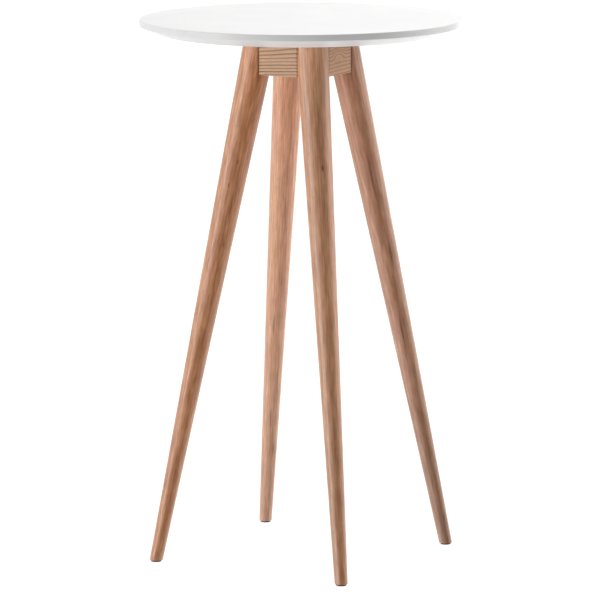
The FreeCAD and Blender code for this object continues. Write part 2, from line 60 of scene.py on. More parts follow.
# Heights and reaches that the pieces share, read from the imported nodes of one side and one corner
CORNER_NAME = "front_right"
CORNER_TURN = CORNERS[CORNER_NAME]
APRON_BOTTOM, UNDERSIDE = reach("rail_right", UP)
RAIL_INNER, RAIL_OUTER = reach("rail_right", outwards(SIDES["right"]))
RAIL_END = reach("rail_right", outwards(SIDES["back"]))[1]
TABLE_HEIGHT = reach("tabletop", UP)[1]
TOP_RADIUS = reach("tabletop", outwards(SIDES["right"]))[1]
CORNER_REACH = reach("corner_block_" + CORNER_NAME, outwards(CORNER_TURN))[1]
GLIDE_TOP = reach("glide_" + CORNER_NAME, UP)[1]
FOOT_OFFSET = sum(reach("glide_" + CORNER_NAME, outwards(CORNER_TURN))) / 2

# Top. Here and below, an arris is the width of its rounding and how many facets it has, and the steps of
# a turned piece are the facets round it.
TOP_BAND_HEIGHT = 13 * MM
TOP_BEVEL_WIDTH = 42 * MM
TOP_ARRIS = (1.2 * MM, 5)
TOP_STEPS = 288

# Legs. The trim is turned on at both ends and sawn off level.
LEG_SPLAY = math.radians(11.9)
LEG_HEAD_RADIUS = 33 * MM
LEG_FOOT_RADIUS = 13 * MM
LEG_TRIM = 12 * MM
LEG_STEPS = 96
LEG_ARRIS = (0.5 * MM, 3)
SOLE_ARRIS = (0.8 * MM, 4)
LEG_LENGTH = UNDERSIDE / math.cos(LEG_SPLAY)
LEG_HEAD_OFFSET = FOOT_OFFSET - (UNDERSIDE - GLIDE_TOP) * math.tan(LEG_SPLAY)

# Rails
RAIL_ARRIS = (0.4 * MM, 2)
RAIL_LOWER_ARRIS = (1.2 * MM, 5)
RAIL_END_ARRIS = (2.5 * MM, 4)

# Hanger bolts, an M8 machine thread at one end and a coarse wood thread at the other
BOLT_RADIUS = 4 * MM
BOLT_CHAMFER = 1 * MM
MACHINE_PITCH = 1.25 * MM
MACHINE_CORE = 3.25 * MM
WOOD_PITCH = 3 * MM
WOOD_CORE = 2.7 * MM
BOLT_POINT = 4 * MM
BOLT_STEPS = 24

# A thread's ridge: half its foot's width as a share of the pitch, and how far from the axis its foot and
# its ends lie as shares of the core's radius, just under the core's surface
RIDGE_HALF_WIDTH = 0.42
RIDGE_FOOT = 0.96
RIDGE_END = 0.97

# Faces that meet at more than this keep a crisp edge between them
SHARP_ANGLE = math.radians(28)

# Points this near to each other count as one place, and doubles this near are merged
SAME_PLACE = 0.01 * MM
MERGE_DISTANCE = SAME_PLACE / 10


# Finishes


def linear(code):
    """A colour written as an sRGB hex value, turned to linear light by the sRGB standard's curve."""
    channels = [int(code[place : place + 2], 16) / 255 for place in (1, 3, 5)]
    return tuple(c / 12.92 if c <= 0.04045 else ((c + 0.055) / 1.055) ** 2.4 for c in channels) + (1.0,)


def add(tree, kind, inputs=None, stops=None, **settings):
    """Add one node: its settings, its inputs (a socket to link or a value) and a ramp's stops."""
    node = tree.nodes.new(kind)
    for name, value in settings.items():
        setattr(node, name, value)
    for name, value in (inputs or {}).items():
        if isinstance(value, bpy.types.NodeSocket):
            tree.links.new(value, node.inputs[name])
        else:
            node.inputs[name].default_value = value
    if stops:
        elements = node.color_ramp.elements
        while len(elements) < len(stops):
            elements.new(1)
        for element, (place, colour) in zip(elements, stops):
            element.position = place
            element.color = colour if isinstance(colour, tuple) else (colour, colour, colour, 1)
    return node


def start_material(name):
    """A new material with no nodes yet; gives back the material and its node tree."""
    material = bpy.data.materials.new(name)
    material.use_nodes = True
    material.node_tree.nodes.clear()
    return material, material.node_tree


def close_material(tree, shader):
    """Give a material's tree its output, fed by the shader."""
    output = add(tree, "ShaderNodeOutputMaterial")
    tree.links.new(shader.outputs["BSDF"], output.inputs["Surface"])


def vary(tree, where, width, low, high, detail=2.0, contrast=0.2):
    """A number that wanders from low to high, in patches about this wide.

    contrast: how far the noise strays from its middle before the number is at its low or its high.
    """
    noise = add(tree, "ShaderNodeTexNoise", {"Vector": where, "Scale": 1 / width, "Detail": detail})
    return add(
        tree,
        "ShaderNodeMapRange",
        {
            "Value": noise.outputs["Fac"],
            "From Min": 0.5 - contrast,
            "From Max": 0.5 + contrast,
            "To Min": low,
            "To Max": high,
        },
    ).outputs["Result"]


def near(tree, place, centre, turn, size, peak):
    """A number that is peak at one point of the piece and fades to nothing at size away from it.

    turn: how the three axes of the size are turned.
    """
    share = add(
        tree,
        "ShaderNodeMapping",
        {"Vector": place, "Location": centre, "Rotation": turn, "Scale": size},
        vector_type="TEXTURE",
    ).outputs["Vector"]
    far = add(tree, "ShaderNodeVectorMath", {0: share}, operation="LENGTH").outputs["Value"]
    return add(
        tree,
        "ShaderNodeMapRange",
        {"Value": far, "From Min": 0.0, "From Max": 1.0, "To Min": peak, "To Max": 0.0},
        interpolation_type="SMOOTHERSTEP",
    ).outputs["Result"]


# How wood grain is drawn. Fibres, pores and clouds are this many times longer along the grain than
# across it. Real fibres and pores are finer, and are drawn as coarse as they need to show.
GRAIN_STRETCH = 25.0
FIBRE_WIDTH = 0.8 * MM
PORE_WIDTH = 0.5 * MM
STREAK_WIDTH = 5 * MM
BLUSH_WIDTH = 14 * MM
CLOUD_WIDTH = 26 * MM

# How dark and how light the clouds and the fibres make the wood
CLOUD_TONES = (0.93, 1.07)
FIBRE_TONES = (0.96, 1.04)

# How dark a ring is at each part of its dark start, then at each part of the whole ring, and how much of
# that a weak year shows
RING_START_SHARES = ((0.0, 0.5), (0.16, 1.0), (0.56, 0.9), (1.0, 0.2))
RING_END_SHARES = ((0.8, 0.0), (0.94, 0.1), (1.0, 0.5))
WEAK_YEAR = 0.5

# The noise that opens a pore, in plain wood and in a ring's dark start, and how much more makes it full
PORE_EDGES = (0.72, 0.56)
PORE_SLOPE = 0.1

# Roughness of plain wood and of open pores
WOOD_ROUGHNESS = (0.44, 0.75)


def make_wood(
    name,
    along,
    origin,
    pith,
    ring_width,
    ring_start,
    ring_line,
    colours,
    ring_depth,
    streak_depth,
    pore_depth,
    wander,
    coat,
    cast=(1.0, 1.0, 1.0),
    knots=(),
    flecks_and_painted_shades=(),
    upright_painted_shades=(),
):
    """Ash, or beech for the blocks, sawn or turned, sanded and finished with a satin clear coat.

    Growth rings lie round the pith. Each ring has a dark porous start and a plain end. Rows of open pores
    and long fibres follow the grain.
    along: which way the grain runs. origin: a point in the piece. pith: where the pith lies from there.
    ring_start: how far from the pith one ring starts, within one ring's width. ring_line: its dark share.
    colours: pale wood, its rosy patches, the dark start of a ring, dark streaks, open pores, and dark
    flecks and painted shade.
    ring_depth, streak_depth, pore_depth: how strongly each of these shows.
    wander: how far the rings stray, in patches how wide, how many times longer along the grain.
    coat: how full the clear coat is, from bare wood at 0 to a closed film at 1.
    cast: what the red, green and blue of every colour are multiplied by in this piece.
    knots: centre, size and push of a place that the rings bend round. flecks_and_painted_shades: centre,
    size and strength of a dark fleck, or of painted shade, along the grain. upright_painted_shades: the
    same, of an upright patch of painted shade.
    """
    material, tree = start_material(name)
    pale, rosy, spring, streak, pore, fleck_and_painted_shade_colour = [
        tuple(part * share for part, share in zip(linear(code), (*cast, 1.0))) for code in colours
    ]
    turn = along.to_track_quat("Z", "Y").to_euler()
    place = add(tree, "ShaderNodeTexCoord").outputs["Object"]
    grain = add(
        tree,
        "ShaderNodeMapping",
        {"Vector": place, "Location": origin + pith, "Rotation": turn, "Scale": (1, 1, GRAIN_STRETCH)},
        vector_type="TEXTURE",
    ).outputs["Vector"]

    # The rings stray a little and bend round knots
    stray, stray_width, stray_stretch = wander
    slower = add(
        tree,
        "ShaderNodeVectorMath",
        {0: grain, 1: (1, 1, GRAIN_STRETCH / stray_stretch)},
        operation="MULTIPLY",
    ).outputs[0]
    drift = add(tree, "ShaderNodeTexNoise", {"Vector": slower, "Scale": 1 / stray_width, "Detail": 2.0})
    shift = add(
        tree,
        "ShaderNodeVectorMath",
        {0: drift.outputs["Color"], 1: (2 * stray, 2 * stray, 0), 2: (-stray, -stray, 0)},
        operation="MULTIPLY_ADD",
    ).outputs[0]
    level = add(
        tree, "ShaderNodeVectorMath", {0: grain, 1: (1, 1, 0), 2: shift}, operation="MULTIPLY_ADD"
    ).outputs[0]
    radius = add(tree, "ShaderNodeVectorMath", {0: level}, operation="LENGTH").outputs["Value"]
    for centre, size, push in knots:
        bulge = near(tree, place, centre, turn, size, push)
        radius = add(tree, "ShaderNodeMath", {0: radius, 1: bulge}, operation="ADD").outputs[0]
    rings = add(
        tree,
        "ShaderNodeMath",
        {0: radius, 1: 1 / ring_width, 2: -ring_start / ring_width},
        operation="MULTIPLY_ADD",
    ).outputs[0]
    season = add(tree, "ShaderNodeMath", {0: rings}, operation="FRACT").outputs[0]
    year = add(tree, "ShaderNodeMath", {0: rings}, operation="FLOOR").outputs[0]
    vigour = add(tree, "ShaderNodeTexWhiteNoise", {"W": year}, noise_dimensions="1D").outputs["Value"]

    # The colour of plain wood, pale with slow rosy patches
    blush = vary(tree, slower, BLUSH_WIDTH, low=0.0, high=1.0, detail=1.0)
    colour = add(tree, "ShaderNodeMix", {"Factor": blush, 6: pale, 7: rosy}, data_type="RGBA").outputs[2]

    # Each ring starts with a dark porous line that fades into plain wood
    stops = [(part * ring_line, share) for part, share in RING_START_SHARES] + list(RING_END_SHARES)
    start_share = add(tree, "ShaderNodeValToRGB", {"Fac": season}, stops=stops).outputs["Color"]
    weight = add(
        tree,
        "ShaderNodeMapRange",
        {"Value": vigour, "To Min": WEAK_YEAR * ring_depth, "To Max": ring_depth},
    ).outputs["Result"]
    ring_share = add(tree, "ShaderNodeMath", {0: start_share, 1: weight}, operation="MULTIPLY").outputs[0]
    colour = add(
        tree, "ShaderNodeMix", {"Factor": ring_share, 6: colour, 7: spring}, data_type="RGBA"
    ).outputs[2]

    # Streaks a few millimetres wide, slow clouds and fine fibres
    streak_share = vary(
        tree, slower, STREAK_WIDTH, low=0.0, high=streak_depth, detail=3.0, contrast=0.18
    )
    colour = add(
        tree, "ShaderNodeMix", {"Factor": streak_share, 6: colour, 7: streak}, data_type="RGBA"
    ).outputs[2]
    cloud_tone = vary(tree, grain, CLOUD_WIDTH, *CLOUD_TONES)
    fibre_tone = vary(tree, grain, FIBRE_WIDTH, *FIBRE_TONES)
    tone = add(tree, "ShaderNodeMath", {0: cloud_tone, 1: fibre_tone}, operation="MULTIPLY").outputs[0]
    colour = add(tree, "ShaderNodeVectorMath", {0: colour, 1: tone}, operation="MULTIPLY").outputs[0]

    # Open pores, dark and sunk, thickest where a ring starts
    holes = add(tree, "ShaderNodeTexNoise", {"Vector": grain, "Scale": 1 / PORE_WIDTH, "Detail": 0.0})
    plain_edge, start_edge = PORE_EDGES
    hole_edge = add(
        tree, "ShaderNodeMapRange", {"Value": start_share, "To Min": plain_edge, "To Max": start_edge}
    ).outputs["Result"]
    depth = add(
        tree, "ShaderNodeMath", {0: holes.outputs["Fac"], 1: hole_edge}, operation="SUBTRACT"
    ).outputs[0]
    hole_share = add(
        tree,
        "ShaderNodeMapRange",
        {"Value": depth, "From Min": 0.0, "From Max": PORE_SLOPE, "To Max": pore_depth},
    ).outputs["Result"]
    colour = add(
        tree, "ShaderNodeMix", {"Factor": hole_share, 6: colour, 7: pore}, data_type="RGBA"
    ).outputs[2]

    # Dark flecks that only this piece has, and painted shade: along the grain, and upright in the corner of
    # a joint
    upright = (0, 0, 0)
    dark_places = [(turn, *one) for one in flecks_and_painted_shades] + [(upright, *one) for one in upright_painted_shades]
    for lie, centre, size, strength in dark_places:
        dark_share = near(tree, place, centre, lie, size, strength)
        colour = add(
            tree, "ShaderNodeMix", {"Factor": dark_share, 6: colour, 7: fleck_and_painted_shade_colour}, data_type="RGBA"
        ).outputs[2]

    # The pores are sunk and dull
    relief = add(
        tree, "ShaderNodeMath", {0: hole_share, 1: -1.0, 2: fibre_tone}, operation="MULTIPLY_ADD"
    ).outputs[0]
    bump = add(tree, "ShaderNodeBump", {"Height": relief, "Strength": 0.3, "Distance": 0.1 * MM})
    plain_roughness, pore_roughness = WOOD_ROUGHNESS
    roughness = add(
        tree,
        "ShaderNodeMapRange",
        {"Value": hole_share, "To Min": plain_roughness, "To Max": pore_roughness},
    ).outputs["Result"]
    shader = add(
        tree,
        "ShaderNodeBsdfPrincipled",
        {
            "Base Color": colour,
            "Roughness": roughness,
            "Normal": bump.outputs["Normal"],
            "IOR": 1.5,
            "Coat Weight": coat,
            "Coat Roughness": 0.4,
            "Coat IOR": 1.6,
        },
    )
    close_material(tree, shader)
    return material


def make_lacquer():
    """Satin white lacquer, sprayed on fibreboard: even, with the faint ripple that a spray gun leaves."""
    material, tree = start_material("sprayed_white_lacquer")
    place = add(tree, "ShaderNodeTexCoord").outputs["Object"]
    ripple = vary(tree, place, width=2.5 * MM, low=0.0, high=1.0)
    shade = vary(tree, place, width=120 * MM, low=0.0, high=1.0)
    colour = add(
        tree,
        "ShaderNodeMix",
        {"Factor": shade, 6: linear("#eeeeee"), 7: linear("#f2f2f1")},
        data_type="RGBA",
    ).outputs[2]
    roughness = vary(tree, place, width=0.6 * MM, low=0.3, high=0.4, detail=1.0)
    bump = add(tree, "ShaderNodeBump", {"Height": ripple, "Strength": 0.08, "Distance": 0.05 * MM})
    shader = add(
        tree,
        "ShaderNodeBsdfPrincipled",
        {"Base Color": colour, "Roughness": roughness, "Normal": bump.outputs["Normal"], "IOR": 1.5},
    )
    close_material(tree, shader)
    return material


def make_zinc():
    """Bright zinc plate on steel: pale, a little blue, with a soft mottle and fine handling marks.

    Both are drawn coarser than on real plate, so that they show.
    """
    material, tree = start_material("bright_zinc_plated_steel")
    place = add(tree, "ShaderNodeTexCoord").outputs["Object"]
    mottle = add(tree, "ShaderNodeTexNoise", {"Vector": place, "Scale": 1 / (3 * MM), "Detail": 4.0})
    colour = add(
        tree,
        "ShaderNodeValToRGB",
        {"Fac": mottle.outputs["Fac"]},
        stops=[(0.3, linear("#b4bac0")), (0.5, linear("#c9ccce")), (0.7, linear("#cdc8ba"))],
    ).outputs["Color"]
    roughness = vary(tree, place, width=0.4 * MM, low=0.22, high=0.45, detail=3.0)
    bump = add(tree, "ShaderNodeBump", {"Height": roughness, "Strength": 0.1, "Distance": 0.1 * MM})
    shader = add(
        tree,
        "ShaderNodeBsdfPrincipled",
        {"Base Color": colour, "Metallic": 1.0, "Roughness": roughness, "Normal": bump.outputs["Normal"]},
    )
    close_material(tree, shader)
    return material


def make_polyethylene():
    """Moulded black polyethylene: dull, with a fine spark-eroded mould texture and pale scuffs.

    The texture is drawn coarser than a real mould's, so that it shows.
    """
    material, tree = start_material("moulded_black_polyethylene")
    place = add(tree, "ShaderNodeTexCoord").outputs["Object"]
    texture = vary(tree, place, width=0.3 * MM, low=0.0, high=1.0)
    scuffs = add(tree, "ShaderNodeTexNoise", {"Vector": place, "Scale": 1 / (2 * MM), "Detail": 4.0})
    scuff_share = add(
        tree, "ShaderNodeMapRange", {"Value": scuffs.outputs["Fac"], "From Min": 0.55, "From Max": 0.75}
    ).outputs["Result"]
    colour = add(
        tree,
        "ShaderNodeMix",
        {"Factor": scuff_share, 6: linear("#1d1c1c"), 7: linear("#34322f")},
        data_type="RGBA",
    ).outputs[2]
    roughness = add(
        tree, "ShaderNodeMapRange", {"Value": scuff_share, "To Min": 0.5, "To Max": 0.7}
    ).outputs["Result"]
    bump = add(tree, "ShaderNodeBump", {"Height": texture, "Strength": 0.25, "Distance": 0.05 * MM})
    shader = add(
        tree,
        "ShaderNodeBsdfPrincipled",
        {"Base Color": colour, "Roughness": roughness, "Normal": bump.outputs["Normal"], "IOR": 1.5},
    )
    close_material(tree, shader)
    return material


# Pieces


def fill_edge_loop(bm, test):
    """Close one flat opening: its edges are the open ones that pass the test."""
    rim = [edge for edge in bm.edges if len(edge.link_faces) < 2 and all(test(v.co) for v in edge.verts)]
    bmesh.ops.contextual_create(bm, geom=rim)


def everything(bm):
    """All the vertices, edges and faces of a mesh, for a plane to cut."""
    return list(bm.verts) + list(bm.edges) + list(bm.faces)


def ease(bm, arris, chosen):
    """Round the outward edges that chosen(edge) picks to the width and the facets of an arris."""
    width, facets = arris
    bm.normal_update()
    edges = [edge for edge in bm.edges if edge.is_manifold and edge.is_convex and chosen(edge)]
    bmesh.ops.bevel(
        bm,
        geom=edges,
        offset=width,
        segments=facets,
        profile=0.5,
        affect="EDGES",
        material=-1,
        clamp_overlap=True,
    )


def crisp(edge):
    """Whether the two faces of an edge meet at a clear angle."""
    return edge.calc_face_angle(0) > SHARP_ANGLE


def finish_piece(bm, name, node, material):
    """Turn the mesh into a piece that stands for its CAD node."""
    bmesh.ops.remove_doubles(bm, verts=bm.verts, dist=MERGE_DISTANCE)
    bmesh.ops.recalc_face_normals(bm, faces=bm.faces)
    mesh = bpy.data.meshes.new(name)
    bm.to_mesh(mesh)
    bm.free()
    mesh.shade_smooth()
    mesh.set_sharp_from_angle(angle=SHARP_ANGLE)
    mesh.materials.append(material)
    piece = bpy.data.objects.new(name, mesh)
    bpy.context.scene.collection.objects.link(piece)
    weighted = piece.modifiers.new("even_normals", "WEIGHTED_NORMAL")
    weighted.keep_sharp = True
    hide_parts(node)
    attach(piece, "root")
    return piece


def turn_into_place(bm, turn):
    """Turn a piece that was made along +X about the table's axis, to its own side or corner."""
    bmesh.ops.rotate(bm, verts=bm.verts, cent=(0, 0, 0), matrix=Matrix.Rotation(math.radians(turn), 3, "Z"))


def spin_section(bm, section, steps):
    """Turn a section, points of (radius, height), into a full round shape."""
    points = [bm.verts.new((radius, 0, height)) for radius, height in section]
    edges = [bm.edges.new(pair) for pair in zip(points, points[1:])]
    bmesh.ops.spin(
        bm,
        geom=points + edges,
        cent=(0, 0, 0),
        axis=(0, 0, 1),
        dvec=(0, 0, 0),
        angle=2 * math.pi,
        steps=steps,
        use_merge=True,
        use_duplicate=False,
    )
    bmesh.ops.remove_doubles(bm, verts=bm.verts, dist=MERGE_DISTANCE)


def turn_tabletop(material):
    """Round top with an upright edge band and a wide bevel underneath."""
    bm = bmesh.new()
    inner = TOP_RADIUS - TOP_BEVEL_WIDTH
    band_bottom = TABLE_HEIGHT - TOP_BAND_HEIGHT
    spin_section(
        bm,
        [
            (0, TABLE_HEIGHT),
            (inner, TABLE_HEIGHT),
            (TOP_RADIUS, TABLE_HEIGHT),
            (TOP_RADIUS, band_bottom),
            (inner, UNDERSIDE),
            (0, UNDERSIDE),
        ],
        TOP_STEPS,
    )
    bmesh.ops.recalc_face_normals(bm, faces=bm.faces)
    ease(bm, TOP_ARRIS, crisp)
    return finish_piece(bm, "lacquered_top", "tabletop", material)


def saw_rail(side, turn, material):
    """One apron board, its ends cut off at 45 degrees where the apron's corners are left open."""
    bm = bmesh.new()
    outer_end = RAIL_END - (RAIL_OUTER - RAIL_INNER)
    plan = [
        (RAIL_INNER, -RAIL_END),
        (RAIL_OUTER, -outer_end),
        (RAIL_OUTER, outer_end),
        (RAIL_INNER, RAIL_END),
    ]
    face = bm.faces.new([bm.verts.new((x, y, UNDERSIDE)) for x, y in plan])
    made = bmesh.ops.extrude_face_region(bm, geom=[face])["geom"]
    lower = [item for item in made if isinstance(item, bmesh.types.BMVert)]
    bmesh.ops.translate(bm, vec=(0, 0, APRON_BOTTOM - UNDERSIDE), verts=lower)
    bmesh.ops.recalc_face_normals(bm, faces=bm.faces)

    def on_outer_end(edge):
        upright = abs(edge.verts[0].co.z - edge.verts[1].co.z) > SAME_PLACE
        return upright and all(v.co.x > RAIL_OUTER - SAME_PLACE for v in edge.verts)

    def on_lower_outer(edge):
        outer = all(abs(v.co.x - RAIL_OUTER) < SAME_PLACE for v in edge.verts)
        return outer and all(v.co.z < UNDERSIDE - SAME_PLACE for v in edge.verts)

    ease(bm, RAIL_END_ARRIS, on_outer_end)
    ease(bm, RAIL_LOWER_ARRIS, on_lower_outer)
    ease(bm, RAIL_ARRIS, crisp)
    turn_into_place(bm, turn)
    return finish_piece(bm, "ash_rail_" + side, "rail_" + side, material)


def turn_leg(corner, turn, material):
    """Round taper, sawn level at both ends and halved to a flat and a shoulder for the apron."""
    bm = bmesh.new()
    taper = (LEG_HEAD_RADIUS - LEG_FOOT_RADIUS) / LEG_LENGTH
    tilt = Matrix.Rotation(-LEG_SPLAY, 4, "Y")
    head = Vector((LEG_HEAD_OFFSET, 0, UNDERSIDE))
    middle = head - tilt @ (UP * LEG_LENGTH / 2)
    bmesh.ops.create_cone(
        bm,
        cap_ends=True,
        segments=LEG_STEPS,
        radius1=LEG_FOOT_RADIUS - LEG_TRIM * taper,
        radius2=LEG_HEAD_RADIUS + LEG_TRIM * taper,
        depth=LEG_LENGTH + 2 * LEG_TRIM,
        matrix=Matrix.Translation(middle) @ tilt,
    )
    for height, side in ((UNDERSIDE, UP), (GLIDE_TOP, -UP)):
        bmesh.ops.bisect_plane(
            bm,
            geom=everything(bm),
            dist=MERGE_DISTANCE,
            plane_co=UP * height,
            plane_no=side,
            clear_outer=True,
        )
        fill_edge_loop(bm, lambda co: abs(co.z - height) < SAME_PLACE)

    # The shoulder is scored all round, and the flat down to it
    bmesh.ops.bisect_plane(
        bm, geom=everything(bm), dist=MERGE_DISTANCE, plane_co=UP * APRON_BOTTOM, plane_no=UP
    )
    upper = [face for face in bm.faces if face.calc_center_median().z > APRON_BOTTOM + SAME_PLACE]
    edges = {edge for face in upper for edge in face.edges}
    verts = {vert for face in upper for vert in face.verts}
    bmesh.ops.bisect_plane(
        bm,
        geom=upper + list(edges) + list(verts),
        dist=MERGE_DISTANCE,
        plane_co=Vector((CORNER_REACH, 0, 0)),
        plane_no=Vector((1, 0, 0)),
    )

    def sawn_off(face):
        centre = face.calc_center_median()
        return centre.z > APRON_BOTTOM + SAME_PLACE and centre.x < CORNER_REACH - SAME_PLACE

    bmesh.ops.delete(bm, geom=[face for face in bm.faces if sawn_off(face)], context="FACES")

    # What is left open is closed by the flat and the shoulder, which share one edge
    def on_flat(co):
        return abs(co.x - CORNER_REACH) < SAME_PLACE and co.z > APRON_BOTTOM - SAME_PLACE

    def on_shoulder(co):
        return abs(co.z - APRON_BOTTOM) < SAME_PLACE and co.x < CORNER_REACH + SAME_PLACE

    inner_ends = [vert for vert in bm.verts if on_flat(vert.co) and on_shoulder(vert.co)]
    bm.edges.new(inner_ends)
    fill_edge_loop(bm, on_flat)
    fill_edge_loop(bm, on_shoulder)
    bmesh.ops.recalc_face_normals(bm, faces=bm.faces)

    def on_sole(edge):
        return crisp(edge) and all(v.co.z < GLIDE_TOP + SAME_PLACE for v in edge.verts)

    def on_head(edge):
        return crisp(edge) and all(v.co.z > APRON_BOTTOM / 2 for v in edge.verts)

    ease(bm, SOLE_ARRIS, on_sole)
    ease(bm, LEG_ARRIS, on_head)
    turn_into_place(bm, turn)
    return finish_piece(bm, "ash_leg_" + corner, "leg_" + corner, material)


def wind_thread(bm, core, pitch, start, end):
    """A closed ridge wound round the X axis, running out into the core at both ends."""
    half_width = RIDGE_HALF_WIDTH * pitch
    foot = core * RIDGE_FOOT
    corners = ((-half_width, foot), (0, BOLT_RADIUS), (half_width, foot))
    section = bm.faces.new([bm.verts.new((start + along, 0, radius)) for along, radius in corners])
    turns = (end - start) / pitch
    steps = round(turns * BOLT_STEPS)
    crest_start = section.verts[1]
    made = bmesh.ops.spin(
        bm,
        geom=[section],
        cent=(0, 0, 0),
        axis=(1, 0, 0),
        dvec=((end - start) / steps, 0, 0),
        angle=2 * math.pi * turns,
        steps=steps,
        use_merge=False,
        use_duplicate=False,
    )
    last = [item for item in made["geom_last"] if isinstance(item, bmesh.types.BMVert)]
    crest_end = max(last, key=lambda vert: vert.co.yz.length)
    for crest in (crest_start, crest_end):
        crest.co.yz = crest.co.yz * (core * RIDGE_END / crest.co.yz.length)


def cut_bolt():
    """One hanger bolt, along the X axis where its corner block holds it before that block is turned."""
    inner, tip = reach("hanger_bolts_" + CORNER_NAME, outwards(CORNER_TURN))
    bolt = bmesh.new()
    rod = [
        (0, inner),
        (MACHINE_CORE - BOLT_CHAMFER / 2, inner),
        (MACHINE_CORE, inner + BOLT_CHAMFER / 2),
        (MACHINE_CORE, CORNER_REACH - MACHINE_PITCH),
        (BOLT_RADIUS, CORNER_REACH - MACHINE_PITCH / 2),
        (BOLT_RADIUS, CORNER_REACH + WOOD_PITCH / 2),
        (WOOD_CORE, CORNER_REACH + WOOD_PITCH),
        (WOOD_CORE, tip - BOLT_POINT),
        (0, tip),
    ]
    spin_section(bolt, rod, BOLT_STEPS)
    bmesh.ops.recalc_face_normals(bolt, faces=bolt.faces)
    bmesh.ops.rotate(bolt, verts=bolt.verts, cent=(0, 0, 0), matrix=Matrix.Rotation(math.pi / 2, 3, "Y"))
    wind_thread(bolt, MACHINE_CORE, MACHINE_PITCH, inner + BOLT_CHAMFER, CORNER_REACH - MACHINE_PITCH)
    wind_thread(bolt, WOOD_CORE, WOOD_PITCH, CORNER_REACH + WOOD_PITCH, tip - BOLT_POINT)
    mesh = bpy.data.meshes.new("bolt")
    bolt.to_mesh(mesh)
    bolt.free()
    return mesh


def fit_hanger_bolts(corner, turn, bolt, material):
    """The two bolts of one leg, one above the other."""
    node = "hanger_bolts_" + corner
    low, high = reach(node, UP)
    bm = bmesh.new()
    for height in (low + BOLT_RADIUS, high - BOLT_RADIUS):
        known = len(bm.verts)
        bm.from_mesh(bolt)
        bm.verts.ensure_lookup_table()
        bmesh.ops.translate(bm, verts=bm.verts[known:], vec=(0, 0, height))
    turn_into_place(bm, turn)
    return finish_piece(bm, "threaded_" + node, node, material)


def refinish(node, material):
    """Give a CAD node that keeps its own mesh its finish."""
    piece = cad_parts[node]
    piece.data.materials.clear()
    piece.data.materials.append(material)


def leg_axes(turn):
    """A leg's own directions: down along it, square out of it and sideways."""
    down = outwards(turn) * math.sin(LEG_SPLAY) - UP * math.cos(LEG_SPLAY)
    out = outwards(turn) * math.cos(LEG_SPLAY) + UP * math.sin(LEG_SPLAY)
    return down, out, down.cross(out)


def leg_mark(turn, depth, side, length, width, strength):
    """A dark fleck on a leg, that far down it and turned side degrees from its outer face."""
    down, out, across = leg_axes(turn)
    radius = LEG_HEAD_RADIUS - (LEG_HEAD_RADIUS - LEG_FOOT_RADIUS) * depth / LEG_LENGTH
    facing = out * math.cos(math.radians(side)) + across * math.sin(math.radians(side))
    centre = outwards(turn) * LEG_HEAD_OFFSET + UP * UNDERSIDE + down * depth + facing * radius
    return centre, (width, width, length), strength


# Colours of each wood: pale, rosy, ring starts, streaks, pores, and dark flecks and painted shade
LEG_COLOURS = ("#dba77c", "#d49c7c", "#b4794f", "#a66f4b", "#80523a", "#54331f")
APRON_COLOURS = ("#e6b88f", "#e2b290", "#6a3a1c", "#b9875f", "#6b432a", "#6b4b34")
BLOCK_COLOURS = ("#e0bd96", "#d8b08c", "#c79f78", "#c2976f", "#8f6846", "#8a6443")

# What each leg's colours are multiplied by: their red, green and blue
LEG_CASTS = {
    "front_right": (1.20, 1.20, 1.19),
    "back_left": (1.47, 1.52, 1.62),
    "front_left": (1.31, 1.20, 1.05),
    "back_right": (1.09, 1.11, 1.21),
}

# How strongly each leg's wood is streaked
LEG_STREAKS = {"front_right": 0.8, "back_left": 0.7, "front_left": 1.0, "back_right": 0.8}

# Painted shade that darkens each leg towards its foot: how dark it grows on each leg, and how far it
# reaches
FOOT_PAINTED_SHADES = {"front_right": 0.16, "back_left": 0.16, "front_left": 0.04, "back_right": 0.3}
FOOT_PAINTED_SHADE_SIZE = (100 * MM, 100 * MM, 600 * MM)

# Painted shade in the corner where each leg meets its rails: how dark it lies on each leg, and how far it
# reaches
JOINT_PAINTED_SHADES = {"front_right": 0.0, "back_left": 0.85, "front_left": 0.85, "back_right": 0.85}
JOINT_PAINTED_SHADE_SIZE = (7 * MM, 7 * MM, 90 * MM)

# The legs' flecks: millimetres down the leg, degrees round it, half length and half width in millimetres,
# and strength
LEG_MARKS = {
    "front_right": (
        (266, -2, 11, 4, 0.9),
        (606, 20, 30, 3, 0.3),
    ),
    "back_left": (
        (638, -155, 40, 3, 0.6),
        (856, -163, 50, 3, 0.6),
        (921, 165, 26, 3, 0.6),
    ),
    "front_left": (
        (260, -84, 9, 3, 0.6),
        (310, -64, 9, 3, 0.6),
        (431, -94, 10, 3, 0.5),
        (470, -36, 45, 3, 0.5),
    ),
    "back_right": (
        (302, 98, 60, 4, 0.6),
        (467, 82, 50, 4, 0.5),
        (632, 103, 60, 3, 0.7),
        (1036, 70, 14, 4, 0.5),
    ),
}

# Where the pith lies: how far from a leg's axis and how many degrees round from the leg's corner, and how
# far behind a block's nose and below the apron
LEG_PITH_DISTANCE = 90 * MM
LEG_PITH_TURN = 70
BLOCK_PITH_BEHIND = 60 * MM
BLOCK_PITH_BELOW = 30 * MM

# How each rail was cut from its log: how far behind its face and above its middle the pith lies, how much
# deeper the pith grows along it, a ring's width, where one starts, how dark the ring starts are, and what
# its colours' red, green and blue are multiplied by
RAIL_CUTS = {
    "front": (41 * MM, 43.5 * MM, 0.087, 5.51 * MM, 1.1 * MM, 1.0, (0.87, 0.85, 0.75)),
    "right": (100 * MM, -131 * MM, -0.03, 5.4 * MM, 0.3 * MM, 0.6, (0.99, 0.92, 0.86)),
    "back": (60 * MM, -120 * MM, 0.02, 5.4 * MM, 0.0, 0.8, (0.97, 0.91, 0.84)),
    "left": (45 * MM, 80 * MM, -0.04, 5.6 * MM, 0.0, 0.9, (0.93, 0.89, 0.80)),
}

